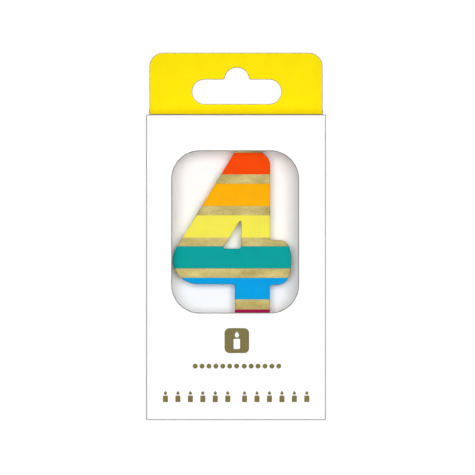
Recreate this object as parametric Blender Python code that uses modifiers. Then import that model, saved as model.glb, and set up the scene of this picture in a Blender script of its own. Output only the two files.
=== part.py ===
"""A number birthday candle, the figure 4, in its hanging window carton.

The white carton is a tube of creased board with a window in front and a tuck closure below.
The insert slides up out of it: a yellow hang card with a euro slot, a tuck flap that closes the
top, and a folded cradle whose two shelves hold the candle by its wick and by its cake pick.

+Z is up, the window faces -Y, and the origin is at the middle of the carton's foot.
"""

import math

import bmesh
import bpy
from mathutils import Vector

MM = 0.001

# Board and play
BOARD = 0.45 * MM  # thickness of every piece of board
GAP = 0.3 * MM  # air between pieces that touch

# Carton
CARTON_WIDTH = 64.3 * MM
CARTON_DEPTH = 20.0 * MM
CARTON_HEIGHT = 109.1 * MM
WINDOW_WIDTH = 45.6 * MM
WINDOW_FOOT = 38.1 * MM
WINDOW_HEAD = 96.3 * MM
WINDOW_RADIUS = 10.2 * MM
WINDOW_SHIFT = -0.3 * MM  # the window sits this far left of the carton's middle
GLUE_FLAP_WIDTH = 11.0 * MM
GLUE_FLAP_INSET = 2.0 * MM  # its ends stop this far short of the carton's
GLUE_FLAP_TAPER = 3.7 * MM

# Closures
LIP_LENGTH = 9.0 * MM  # from its crease
LIP_START = 0.5 * MM  # the lip's board starts this far from its crease, so that it can fold inwards
LIP_TILT = math.radians(16)  # a tuck lip leans in, so that it swings clear of the front panel
LIP_HALF_WIDTH = 29.5 * MM
LIP_RADIUS = 3.5 * MM
CREASE_INSET = 0.15 * MM  # from a closing flap's front edge back to its lip's crease
CLOSURE_PLAY = 0.65 * MM  # from the front panel back to what slides or swings behind it
DUST_LENGTH = 13.0 * MM
DUST_BASE = (-7.3 * MM, 8.0 * MM)  # front and back ends of a dust flap's creased edge
DUST_TIP = (-4.8 * MM, -0.45 * MM)  # front and back ends of its free edge; the taper keeps it
# clear of the tuck lip in front and lets the bottom flap swing away faster than it behind
DUST_RADIUS = 1.5 * MM

# Hang card
HEADER_WIDTH = 62.2 * MM
HEADER_TOP = 131.6 * MM
HEADER_RADIUS = 4.95 * MM
CARD_WIDTH = 60.8 * MM  # inside the carton the card is a little narrower
CARD_FOOT = 1.6 * MM
SLOT_WIDTH = 32.0 * MM
SLOT_FOOT = 113.2 * MM
SLOT_HEAD = 122.0 * MM
SLOT_SHIFT = 0.3 * MM  # the slot sits this far right of the header's middle
SLOT_HUMP_RADIUS = 4.4 * MM
SLOT_HUMP_CENTRE = 121.9 * MM

# Cradle
CRADLE_HALF_WIDTH = 30.2 * MM
CRADLE_BEND = 0.3 * MM  # inside radius of its two folds
NOTCH_PLAY = 0.5 * MM  # each side of the wick or the pick in its shelf's notch

# Candle
CANDLE_FOOT = 31.7 * MM
CANDLE_TOP = 97.6 * MM
CANDLE_THICKNESS = 8.0 * MM
CANDLE_EDGE = 0.8 * MM  # rounding of the numeral's edges
STEM_X = 6.0 * MM  # middle of the numeral's upright stroke
WICK_RADIUS = 0.9 * MM
WICK_SHOWING = 9.8 * MM
WICK_BURIED = 31.0 * MM
PIN_RADIUS = 1.0 * MM
PIN_LENGTH = 9.0 * MM
PLATE_RADIUS = 4.0 * MM
PLATE_THICKNESS = 1.1 * MM
SPIKE_RADIUS = 1.7 * MM
SPIKE_TIP_RADIUS = 0.35 * MM
SPIKE_TIP = 3.0 * MM  # height of the pick's point above the carton's foot

# Places worked out from the sizes above. The layers run from the front panel to the back panel.
FRONT_FACE = -CARTON_DEPTH / 2
FRONT_INSIDE = FRONT_FACE + BOARD
BACK_FACE = CARTON_DEPTH / 2
BACK_INSIDE = BACK_FACE - BOARD
SIDE_INSIDE = CARTON_WIDTH / 2 - BOARD
LAYER = BOARD + GAP
GLUE_LAYER = BACK_INSIDE - LAYER  # front face of the glue flap
CARD_LAYER = GLUE_LAYER - LAYER  # front face of the hang card's back layer
WEB_LAYER = CARD_LAYER - LAYER  # front face of the cradle's web and of the header's front layer
CANDLE_BACK = WEB_LAYER - GAP
CANDLE_MIDDLE = CANDLE_BACK - CANDLE_THICKNESS / 2
FRONT_EDGE = FRONT_INSIDE + CLOSURE_PLAY  # of both closing flaps and of the cradle's shelves
FLAP_HALF_WIDTH = SIDE_INSIDE - 1.5 * GAP
LIP_CREASE_Y = FRONT_EDGE + CREASE_INSET
LOWER_SHELF = CANDLE_FOOT - 2 * GAP - PLATE_THICKNESS  # its top face
UPPER_SHELF = CANDLE_TOP + GAP  # its underside
TOP_FLAP_HINGE = Vector((0, WEB_LAYER, CARTON_HEIGHT))
TOP_LIP_CREASE = Vector((0, LIP_CREASE_Y, CARTON_HEIGHT - GAP))
BOTTOM_FLAP_HINGE = Vector((0, BACK_FACE, 0))
BOTTOM_LIP_CREASE = Vector((0, LIP_CREASE_Y, GAP))
DUST_FLAP_CREASE = BOARD  # height of the side panels' lower edges

# Rotations that stand a flat outline up: its own X and Y become these two axes
LYING = (0, 0, 0)  # X and Y
FACING_FRONT = (math.pi / 2, 0, 0)  # X and Z
FACING_SIDE = (math.pi / 2, 0, math.pi / 2)  # Y and Z

ARC_STEP = math.radians(15)
ROUND_SIDES = 20
SHARP_ANGLE = math.radians(35)
WELD_DISTANCE = 0.01 * MM

# The 4's outline in millimetres, anticlockwise from the top of its upright stroke: the anchor,
# then the handles before and after it as offsets, with None where a straight side begins.
NUMERAL_OUTLINE = [
    ((6.1, 97.6), None, None),
    ((2.2, 97.6), None, (-0.9, 0)),
    ((0.05, 96.74), (0.8, 0.75), None),
    ((-20.2, 63.4), None, (-1.1, -1.8)),
    ((-22.7, 57.1), (0, 2.6), (0, -4.6)),
    ((-14.0, 48.5), (-4.7, 0.15), None),
    ((-1.4, 48.5), None, (0.65, 0)),
    ((-0.4, 47.5), (0, 0.65), None),
    ((-0.4, 32.7), None, (0, -0.55)),
    ((0.6, 31.7), (-0.55, 0), None),
    ((11.15, 31.7), None, (0.55, 0)),
    ((12.15, 32.7), (0, -0.55), None),
    ((12.15, 47.3), None, (0, 0.6)),
    ((13.15, 48.25), (-0.6, 0), None),
    ((14.7, 48.2), None, (3.6, 0.05)),
    ((19.83, 56.4), (0, -4.9), (0, 4.9)),
    ((16.2, 64.15), (2.4, -0.1), None),
    ((12.95, 64.35), None, (-0.4, 0)),
    ((12.25, 65.05), (0, -0.4), None),
    ((12.25, 91.4), None, (0, 3.4)),
]
NUMERAL_COUNTER = [
    ((0.45, 61.15), None, (0.9, 0.02)),
    ((1.78, 62.1), (-0.02, -0.6), None),
    ((1.95, 69.6), None, (0, 1.6)),
    ((1.05, 70.7), (0.45, 0.65), None),
    ((-4.3, 62.0), None, (-0.4, -0.6)),
    ((-3.7, 61.2), (-0.75, 0), None),
]


def clear_scene():
    for obj in list(bpy.data.objects):
        bpy.data.objects.remove(obj)


def collection(name):
    made = bpy.data.collections.new(name)
    bpy.context.scene.collection.children.link(made)
    return made


def material(name, colour, roughness):
    made = bpy.data.materials.new(name)
    made.use_nodes = True
    shader = made.node_tree.nodes["Principled BSDF"]
    shader.inputs["Base Color"].default_value = (*colour, 1)
    shader.inputs["Roughness"].default_value = roughness
    return made


def rounded(corners):
    """The outline through these (x, y, radius) corners, with each corner as an arc of its radius."""
    points = []
    for i, (x, y, radius) in enumerate(corners):
        here = Vector((x, y))
        if radius == 0:
            points.append(here)
            continue
        before = (Vector(corners[i - 1][:2]) - here).normalized()
        after = (Vector(corners[(i + 1) % len(corners)][:2]) - here).normalized()
        inner = before.angle(after)
        centre = here + (before + after).normalized() * radius / math.sin(inner / 2)
        reach = radius / math.tan(inner / 2)
        start = here + before * reach - centre
        turn = start.angle_signed(here + after * reach - centre)
        steps = max(2, math.ceil(abs(turn) / ARC_STEP))
        for step in range(steps + 1):
            angle = -turn * step / steps
            cos, sin = math.cos(angle), math.sin(angle)
            points.append(centre + Vector((start.x * cos - start.y * sin, start.x * sin + start.y * cos)))
    return points


def rectangle(left, right, low, high, radius=0.0):
    return rounded([(left, low, radius), (right, low, radius), (right, high, radius), (left, high, radius)])


def flat_curve(name, thickness, finish, place, turn):
    """An empty flat curve that fills its outlines and is extruded to the thickness."""
    curve = bpy.data.curves.new(name, "CURVE")
    curve.dimensions = "2D"
    curve.fill_mode = "BOTH"
    curve.extrude = thickness / 2
    curve.materials.append(finish)
    obj = bpy.data.objects.new(name, curve)
    obj.location = place
    obj.rotation_euler = turn
    parts.objects.link(obj)
    return obj


def board(name, outlines, finish, place, turn):
    """A flat piece of board: the first outline is its edge, and any others are holes in it."""
    obj = flat_curve(name, BOARD, finish, place, turn)
    for outline in outlines:
        spline = obj.data.splines.new("POLY")
        spline.points.add(len(outline) - 1)
        for point, (x, y) in zip(spline.points, outline):
            point.co = (x, y, 0, 1)
        spline.use_cyclic_u = True
    return obj


def add_bezier_outline(curve, anchors):
    spline = curve.splines.new("BEZIER")
    spline.bezier_points.add(len(anchors) - 1)
    spline.resolution_u = 6
    spline.use_cyclic_u = True
    for point, (anchor, before, after) in zip(spline.bezier_points, anchors):
        place = Vector((*anchor, 0)) * MM
        point.co = place
        point.handle_left_type = "VECTOR" if before is None else "FREE"
        point.handle_right_type = "VECTOR" if after is None else "FREE"
        if before is not None:
            point.handle_left = place + Vector((*before, 0)) * MM
        if after is not None:
            point.handle_right = place + Vector((*after, 0)) * MM


def to_mesh(obj):
    """Replaces a curve object by its mesh, with the caps welded on, ready for Boolean and Bevel."""
    bpy.context.view_layer.update()
    name = obj.name
    mesh = bpy.data.meshes.new_from_object(obj.evaluated_get(bpy.context.evaluated_depsgraph_get()))
    welded = bmesh.new()
    welded.from_mesh(mesh)
    bmesh.ops.remove_doubles(welded, verts=welded.verts, dist=WELD_DISTANCE)
    welded.to_mesh(mesh)
    welded.free()
    solid = bpy.data.objects.new(name, mesh)
    solid.matrix_world = obj.matrix_world
    bpy.data.objects.remove(obj)
    solid.name = name
    parts.objects.link(solid)
    return solid


def cylinder(name, radius, low, high, x, y):
    bpy.ops.mesh.primitive_cylinder_add(
        vertices=ROUND_SIDES, radius=radius, depth=high - low, location=(x, y, (low + high) / 2)
    )
    obj = bpy.context.active_object
    obj.name = name
    obj.data.shade_smooth()
    obj.data.set_sharp_from_angle(angle=SHARP_ANGLE)
    move_to(obj, parts)
    return obj


def box(name, low, high):
    size = Vector(high) - Vector(low)
    bpy.ops.mesh.primitive_cube_add(size=1, location=Vector(low) + size / 2, scale=size)
    obj = bpy.context.active_object
    obj.name = name
    move_to(obj, parts)
    return obj


def move_to(obj, target):
    for owner in list(obj.users_collection):
        owner.objects.unlink(obj)
    target.objects.link(obj)


def cut(obj, *tools):
    for tool in tools:
        move_to(tool, cutters)
        tool.hide_render = True
        tool.display_type = "WIRE"
        boolean = obj.modifiers.new("Cut " + tool.name, "BOOLEAN")
        boolean.operation = "DIFFERENCE"
        boolean.object = tool


def joint(name, place, parent=None):
    """An empty on a joint's axis. What moves with the joint is parented to it."""
    empty = bpy.data.objects.new(name, None)
    empty.empty_display_size = 5 * MM
    parts.objects.link(empty)
    empty.location = place
    bpy.context.view_layer.update()
    if parent:
        attach(parent, empty)
    return empty


def attach(parent, *children):
    bpy.context.view_layer.update()
    for child in children:
        child.parent = parent
        child.matrix_parent_inverse = parent.matrix_world.inverted()


def make_carton(white):
    half = CARTON_WIDTH / 2
    window = rectangle(
        WINDOW_SHIFT - WINDOW_WIDTH / 2,
        WINDOW_SHIFT + WINDOW_WIDTH / 2,
        WINDOW_FOOT,
        WINDOW_HEAD,
        WINDOW_RADIUS,
    )
    whole = rectangle(-half, half, 0, CARTON_HEIGHT)
    front = (0, FRONT_FACE + BOARD / 2, 0)
    back = (0, BACK_FACE - BOARD / 2, 0)
    board("front_panel", [whole, window], white, front, FACING_FRONT)
    board("back_panel", [whole], white, back, FACING_FRONT)
    side = rectangle(FRONT_INSIDE + GAP, BACK_INSIDE - GAP, DUST_FLAP_CREASE, CARTON_HEIGHT)
    for name, sign in (("left_side_panel", -1), ("right_side_panel", 1)):
        board(name, [side], white, (sign * (half - BOARD / 2), 0, 0), FACING_SIDE)
    glue_left = -SIDE_INSIDE + GAP
    glue_right = glue_left + GLUE_FLAP_WIDTH
    glue_flap = rounded([
        (glue_left, GLUE_FLAP_INSET, 0),
        (glue_right, GLUE_FLAP_INSET + GLUE_FLAP_TAPER, 0),
        (glue_right, CARTON_HEIGHT - GLUE_FLAP_INSET - GLUE_FLAP_TAPER, 0),
        (glue_left, CARTON_HEIGHT - GLUE_FLAP_INSET, 0),
    ])
    board("glue_flap", [glue_flap], white, (0, GLUE_LAYER + BOARD / 2, 0), FACING_FRONT)


def make_lip(name, finish, crease, upward):
    """A tuck lip on its crease. It runs up or down from there, leaning in towards the candle."""
    near = LIP_START if upward else -LIP_START
    far = LIP_LENGTH if upward else -LIP_LENGTH
    corners = [
        (-LIP_HALF_WIDTH, near, 0),
        (LIP_HALF_WIDTH, near, 0),
        (LIP_HALF_WIDTH, far, LIP_RADIUS),
        (-LIP_HALF_WIDTH, far, LIP_RADIUS),
    ]
    lean = -LIP_TILT if upward else LIP_TILT
    return board(name, [rounded(corners)], finish, crease, (math.pi / 2 + lean, 0, 0))


def make_bottom_closure(white):
    hinge = joint("bottom_flap_hinge", BOTTOM_FLAP_HINGE)
    outline = rectangle(-FLAP_HALF_WIDTH, FLAP_HALF_WIDTH, FRONT_EDGE, BACK_INSIDE - GAP)
    flap = board("bottom_flap", [outline], white, (0, 0, BOARD / 2), LYING)
    crease = joint("bottom_lip_crease", BOTTOM_LIP_CREASE, hinge)
    lip = make_lip("bottom_tuck_lip", white, BOTTOM_LIP_CREASE, upward=True)
    attach(hinge, flap)
    attach(crease, lip)


def make_dust_flaps(white):
    """The two small flaps at the foot of the side panels, lying on the bottom flap."""
    for name, sign in (("left_dust_flap", -1), ("right_dust_flap", 1)):
        base = sign * (SIDE_INSIDE - GAP)
        tip = base - sign * DUST_LENGTH
        corners = [
            (base, DUST_BASE[0], 0),
            (base, DUST_BASE[1], 0),
            (tip, DUST_TIP[1], DUST_RADIUS),
            (tip, DUST_TIP[0], DUST_RADIUS),
        ]
        if sign < 0:
            corners.reverse()
        place = (0, 0, BOARD + GAP + BOARD / 2)
        flap = board(name, [rounded(corners)], white, place, LYING)
        hinge = joint(name + "_hinge", (sign * CARTON_WIDTH / 2, 0, DUST_FLAP_CREASE))
        attach(hinge, flap)


def euro_slot():
    """The hang hole: a slot with round ends and a round hump over its middle."""
    half = SLOT_WIDTH / 2
    end_radius = (SLOT_HEAD - SLOT_FOOT) / 2
    rise = SLOT_HEAD - SLOT_HUMP_CENTRE
    start = math.asin(rise / SLOT_HUMP_RADIUS)
    steps = math.ceil((math.pi - 2 * start) / ARC_STEP)
    short_of_half = 0.999  # keeps the two corner arcs of each round end from sharing a point
    left, right = SLOT_SHIFT - half, SLOT_SHIFT + half
    slot = rectangle(left, right, SLOT_FOOT, SLOT_HEAD, end_radius * short_of_half)
    split = len(slot) * 3 // 4  # the hump goes between the two corners of the upper side
    hump = []
    for step in range(steps + 1):
        angle = start + (math.pi - 2 * start) * step / steps
        along = Vector((math.cos(angle), math.sin(angle)))
        hump.append(Vector((SLOT_SHIFT, SLOT_HUMP_CENTRE)) + SLOT_HUMP_RADIUS * along)
    return slot[:split] + hump + slot[split:]


def make_hang_card(yellow):
    """The card that carries everything: its back layer runs the carton's whole height, and above
    the carton it is folded over, so that the header has two layers."""
    half, narrow = HEADER_WIDTH / 2, CARD_WIDTH / 2
    back = rounded([
        (-narrow, CARD_FOOT, 0),
        (narrow, CARD_FOOT, 0),
        (narrow, CARTON_HEIGHT, 0),
        (half, CARTON_HEIGHT + GAP, 0),
        (half, HEADER_TOP, HEADER_RADIUS),
        (-half, HEADER_TOP, HEADER_RADIUS),
        (-half, CARTON_HEIGHT + GAP, 0),
        (-narrow, CARTON_HEIGHT, 0),
    ])
    front = rounded([
        (-half, CARTON_HEIGHT + GAP, 0),
        (half, CARTON_HEIGHT + GAP, 0),
        (half, HEADER_TOP, HEADER_RADIUS),
        (-half, HEADER_TOP, HEADER_RADIUS),
    ])
    slot = euro_slot()
    return (
        board("hang_card", [back, slot], yellow, (0, CARD_LAYER + BOARD / 2, 0), FACING_FRONT),
        board("header_front_layer", [front, slot], yellow, (0, WEB_LAYER + BOARD / 2, 0), FACING_FRONT),
    )


def make_top_closure(yellow, insert):
    hinge = joint("top_flap_hinge", TOP_FLAP_HINGE, insert)
    outline = rectangle(-FLAP_HALF_WIDTH, FLAP_HALF_WIDTH, FRONT_EDGE, WEB_LAYER - GAP)
    flap = board("top_flap", [outline], yellow, (0, 0, CARTON_HEIGHT - BOARD / 2), LYING)
    crease = joint("top_lip_crease", TOP_LIP_CREASE, hinge)
    lip = make_lip("top_tuck_lip", yellow, TOP_LIP_CREASE, upward=False)
    attach(hinge, flap)
    attach(crease, lip)


def make_cradle(white):
    """A card folded into a C: a web behind the candle and a notched shelf at each end of it."""
    web_back = WEB_LAYER + BOARD
    low, high = LOWER_SHELF, UPPER_SHELF
    outer = CRADLE_BEND + BOARD
    profile = rounded([
        (FRONT_EDGE, low - BOARD, 0),
        (web_back, low - BOARD, outer),
        (web_back, high + BOARD, outer),
        (FRONT_EDGE, high + BOARD, 0),
        (FRONT_EDGE, high, 0),
        (WEB_LAYER, high, CRADLE_BEND),
        (WEB_LAYER, low, CRADLE_BEND),
        (FRONT_EDGE, low, 0),
    ])
    folded = board("candle_cradle", [profile], white, (0, 0, 0), FACING_SIDE)
    folded.data.extrude = CRADLE_HALF_WIDTH
    cradle = to_mesh(folded)
    reach = 2 * MM  # how far the notch cutters run past the board
    notches = (("pick", low, SPIKE_RADIUS + NOTCH_PLAY), ("wick", high, WICK_RADIUS + NOTCH_PLAY))
    for name, middle, half in notches:
        slot = box(
            name + "_notch",
            (STEM_X - half, FRONT_EDGE - reach, middle - reach),
            (STEM_X + half, CANDLE_MIDDLE, middle + reach),
        )
        end = cylinder(name + "_notch_end", half, middle - reach, middle + reach, STEM_X, CANDLE_MIDDLE)
        cut(cradle, slot, end)
    return cradle


def make_numeral(wax):
    """The cast wax 4, with a hole down from its top for the wick and one up from its foot for the pick."""
    outline = flat_curve("candle_numeral", CANDLE_THICKNESS, wax, (0, CANDLE_MIDDLE, 0), FACING_FRONT)
    add_bezier_outline(outline.data, NUMERAL_OUTLINE)
    add_bezier_outline(outline.data, NUMERAL_COUNTER)
    numeral = to_mesh(outline)
    bevel = numeral.modifiers.new("Round edges", "BEVEL")
    bevel.width = CANDLE_EDGE
    bevel.segments = 2
    bevel.limit_method = "ANGLE"
    bevel.angle_limit = math.radians(60)
    beyond = 5 * MM
    wick_hole = cylinder(
        "wick_hole",
        WICK_RADIUS + GAP,
        CANDLE_TOP - WICK_BURIED - GAP,
        CANDLE_TOP + beyond,
        STEM_X,
        CANDLE_MIDDLE,
    )
    pin_hole = cylinder(
        "pin_hole",
        PIN_RADIUS + GAP,
        CANDLE_FOOT - beyond,
        CANDLE_FOOT + PIN_LENGTH + GAP,
        STEM_X,
        CANDLE_MIDDLE,
    )
    cut(numeral, wick_hole, pin_hole)
    return numeral


def make_wick(cotton):
    wick = cylinder(
        "wick",
        WICK_RADIUS,
        CANDLE_TOP - WICK_BURIED,
        CANDLE_TOP + WICK_SHOWING,
        STEM_X,
        CANDLE_MIDDLE,
    )
    wick.data.materials.append(cotton)
    return wick


def make_cake_pick(plastic):
    """The moulded pick: a pin in the wax, a round plate under the foot and a tapering spike."""
    plate_top = CANDLE_FOOT - GAP
    plate_foot = plate_top - PLATE_THICKNESS
    profile = [
        (0, CANDLE_FOOT + PIN_LENGTH),
        (PIN_RADIUS * 0.6, CANDLE_FOOT + PIN_LENGTH),
        (PIN_RADIUS, CANDLE_FOOT + PIN_LENGTH - 1.2 * MM),
        (PIN_RADIUS, plate_top),
        (PLATE_RADIUS, plate_top),
        (PLATE_RADIUS, plate_foot),
        (SPIKE_RADIUS, plate_foot),
        (SPIKE_TIP_RADIUS, SPIKE_TIP + 1.0 * MM),
        (0, SPIKE_TIP),
    ]
    mesh = bpy.data.meshes.new("cake_pick")
    points = [(x, 0, z) for x, z in profile]
    mesh.from_pydata(points, [(i, i + 1) for i in range(len(points) - 1)], [])
    mesh.materials.append(plastic)
    pick = bpy.data.objects.new("cake_pick", mesh)
    pick.location = (STEM_X, CANDLE_MIDDLE, 0)
    parts.objects.link(pick)
    turned = pick.modifiers.new("Turn", "SCREW")
    turned.steps = ROUND_SIDES
    turned.render_steps = ROUND_SIDES
    turned.use_merge_vertices = True
    turned.merge_threshold = WELD_DISTANCE
    return pick


def main():
    white = material("white_board", (0.88, 0.88, 0.87), 0.6)
    yellow = material("yellow_board", (0.99, 0.8, 0.0), 0.45)
    wax = material("striped_wax", (0.02, 0.36, 0.34), 0.4)
    cotton = material("wick_cotton", (0.85, 0.83, 0.76), 0.9)
    plastic = material("white_plastic", (0.85, 0.85, 0.84), 0.35)

    make_carton(white)
    make_bottom_closure(white)
    make_dust_flaps(white)

    insert = joint("insert_slide", (0, 0, 0))
    attach(insert, *make_hang_card(yellow))
    make_top_closure(yellow, insert)
    attach(insert, make_cradle(white), make_numeral(wax), make_wick(cotton), make_cake_pick(plastic))


clear_scene()
parts = collection("number_candle")
cutters = collection("cutters")
main()
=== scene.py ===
"""Looks for the number birthday candle in its hanging window carton.

Every board piece is cut flat, as on a die press, and then bent along its creases. All lengths are
in metres, in the frame of the CAD model: +Z is up and the window faces -Y.
"""

import math

import bmesh
import bpy
from mathutils import Matrix, Vector


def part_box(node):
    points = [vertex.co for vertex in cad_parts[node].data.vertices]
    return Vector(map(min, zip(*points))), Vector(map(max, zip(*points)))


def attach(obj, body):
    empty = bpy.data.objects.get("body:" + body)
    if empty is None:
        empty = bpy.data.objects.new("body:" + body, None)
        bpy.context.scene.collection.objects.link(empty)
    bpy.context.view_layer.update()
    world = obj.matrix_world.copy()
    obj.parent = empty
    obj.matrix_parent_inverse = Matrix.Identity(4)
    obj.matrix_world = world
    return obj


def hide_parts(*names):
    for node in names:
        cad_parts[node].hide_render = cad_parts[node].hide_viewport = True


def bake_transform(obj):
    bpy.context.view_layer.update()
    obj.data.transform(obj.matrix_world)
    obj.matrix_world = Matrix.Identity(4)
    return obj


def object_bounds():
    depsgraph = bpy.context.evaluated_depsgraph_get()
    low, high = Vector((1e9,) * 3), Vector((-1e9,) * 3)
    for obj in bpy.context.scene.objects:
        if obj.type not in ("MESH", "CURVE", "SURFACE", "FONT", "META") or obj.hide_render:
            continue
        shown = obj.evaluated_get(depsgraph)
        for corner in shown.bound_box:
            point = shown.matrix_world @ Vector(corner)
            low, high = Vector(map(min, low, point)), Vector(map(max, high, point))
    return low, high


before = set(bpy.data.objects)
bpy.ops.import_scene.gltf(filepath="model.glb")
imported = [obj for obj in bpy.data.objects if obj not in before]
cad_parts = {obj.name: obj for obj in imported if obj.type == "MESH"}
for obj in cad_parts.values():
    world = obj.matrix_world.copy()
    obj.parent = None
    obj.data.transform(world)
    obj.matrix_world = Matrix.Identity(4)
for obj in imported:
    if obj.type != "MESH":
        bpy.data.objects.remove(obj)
cad_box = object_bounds()

MM = 0.001
HALF_PI = math.pi / 2

# Board
BOARD = 0.45 * MM
CREASE_RADIUS = 0.25 * MM  # inside a fold
CUT_EDGE = 0.06 * MM  # how far a die-cut edge is rounded
EDGE_SLOPE = 0.8  # the depth of the rounding at a board's front, over its width
FOLD_STEP = math.radians(15)
ARC_STEP = math.radians(7.5)
SHARP_ANGLE = math.radians(32)
WELD = 0.004 * MM  # edges shorter than this are closed up
CLOSE = 1e-7  # points nearer than this are taken as one
PRINT_FACE = 0.05 * MM  # the printed panel is set back by this much, so the ink stays in the box
PRINT_MARGIN = 0.01 * MM

TURNED_SIDES = 32
GROOVES = 4  # round a turned solid
STRAND_SIDES = 10

# Material slots of a board piece: its coated side, cut edges and inner side, and the middle of its
# creases, a dark grey of worn coating and painted shade
OUTER, CUT, INNER, WORN_AND_SHADED = 0, 1, 2, 3


# ---------------------------------------------------------------- outlines in a plane


def rounded(corners):
    """The outline through these (x, y, radius) corners, each made an arc of its radius."""
    points = []
    for i, (x, y, radius) in enumerate(corners):
        here = Vector((x, y))
        if radius == 0:
            points.append(here)
            continue
        before = (Vector(corners[i - 1][:2]) - here).normalized()
        after = (Vector(corners[(i + 1) % len(corners)][:2]) - here).normalized()
        inner = before.angle(after)
        centre = here + (before + after).normalized() * radius / math.sin(inner / 2)
        start = here + before * radius / math.tan(inner / 2) - centre
        turn = start.angle_signed(here + after * radius / math.tan(inner / 2) - centre)
        steps = max(2, math.ceil(abs(turn) / ARC_STEP))
        points += [centre + Matrix.Rotation(-turn * k / steps, 2) @ start for k in range(steps + 1)]
    return points


def rectangle(left, right, low, high, radius=0.0):
    corners = ((left, low), (right, low), (right, high), (left, high))
    return rounded([(x, y, radius) for x, y in corners])


def arc(x, y, radius, start, stop):
    steps = math.ceil(abs(stop - start) / ARC_STEP)
    turns = [start + (stop - start) * k / steps for k in range(steps + 1)]
    return [Vector((x + radius * math.cos(turn), y + radius * math.sin(turn))) for turn in turns]


def circle(x, y, radius, steps=24):
    turns = [2 * math.pi * k / steps for k in range(steps)]
    return [Vector((x + radius * math.cos(turn), y + radius * math.sin(turn))) for turn in turns]


def bezier(anchors, steps=10):
    """The closed outline through (anchor, handle before, handle after) in millimetres. A handle is
    an offset from its anchor, and None on the side where the outline runs straight."""
    points = []
    for (start, _, out), (end, into, _) in zip(anchors, anchors[1:] + anchors[:1]):
        a, d = Vector(start) * MM, Vector(end) * MM
        points.append(a)
        if out is None and into is None:
            continue
        b = a + Vector(out or (0, 0)) * MM
        c = d + Vector(into or (0, 0)) * MM
        for k in range(1, steps):
            t = k / steps
            s = 1 - t
            points.append(s**3 * a + 3 * s * s * t * b + 3 * s * t * t * c + t**3 * d)
    return points


def moved_in(outline, distance):
    """The outline moved to its left by the distance: inwards, if it runs anticlockwise."""
    moved = []
    for i, point in enumerate(outline):
        before = (point - outline[i - 1]).normalized()
        after = (outline[(i + 1) % len(outline)] - point).normalized()
        left = Vector((-before.y - after.y, before.x + after.x)).normalized()
        lengthening = max(0.5, left.dot(Vector((-after.y, after.x))))
        moved.append(point + left * distance / lengthening)
    return moved


# ---------------------------------------------------------------- solids from outlines


def slab(edge, holes=(), rings=None, hole_rings=None, made=None):
    """A flat solid, in a new bmesh or added to one. The edge and the holes are anticlockwise
    outlines. Each ring is (how far inside the outline, how deep below the front face)."""
    made = made or bmesh.new()
    rings = rings or board_rings()
    loops = []  # one list of rings of vertices for each outline
    for outline, steps in [(edge, rings)] + [(hole[::-1], hole_rings or rings) for hole in holes]:
        levels = []
        for inset, depth in steps:
            levels.append([made.verts.new((*point, depth)) for point in moved_in(outline, inset)])
        loops.append(levels)
    for levels in loops:
        for near, far in zip(levels, levels[1:]):
            for i in range(len(near)):
                made.faces.new((near[i - 1], near[i], far[i], far[i - 1])).material_index = CUT
    for end, slot in ((0, OUTER), (-1, INNER)):
        rims = [levels[end] for levels in loops]
        edges = [made.edges.get((rim[i - 1], rim[i])) for rim in rims for i in range(len(rim))]
        for filled in bmesh.ops.triangle_fill(made, use_beauty=True, edges=edges)["geom"]:
            if isinstance(filled, bmesh.types.BMFace):
                filled.material_index = slot
    return made


def finish_mesh(made, name, body, materials, replaced=(), blend=None):
    """Turns a bmesh into a piece that rides on a body, or, given bend points, one left in world
    place on no body.
    """
    bmesh.ops.dissolve_degenerate(made, dist=WELD, edges=made.edges)
    made.normal_update()
    bmesh.ops.recalc_face_normals(made, faces=made.faces)
    mesh = bpy.data.meshes.new(name)
    made.to_mesh(mesh)
    made.free()
    for material in materials:
        mesh.materials.append(material)
    mesh.shade_smooth()
    mesh.set_sharp_from_angle(angle=SHARP_ANGLE)
    piece = bpy.data.objects.new(name, mesh)
    bpy.context.scene.collection.objects.link(piece)
    if blend:
        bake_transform(piece)
    else:
        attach(piece, body)
    if replaced:
        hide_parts(*replaced)


def board_rings(thickness=BOARD, front=CUT_EDGE, back=CUT_EDGE):
    """A die-cut edge, pressed round by these widths at the board's two faces."""
    return [(front, 0), (0, front * EDGE_SLOPE), (0, thickness - back), (back, thickness)]


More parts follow.
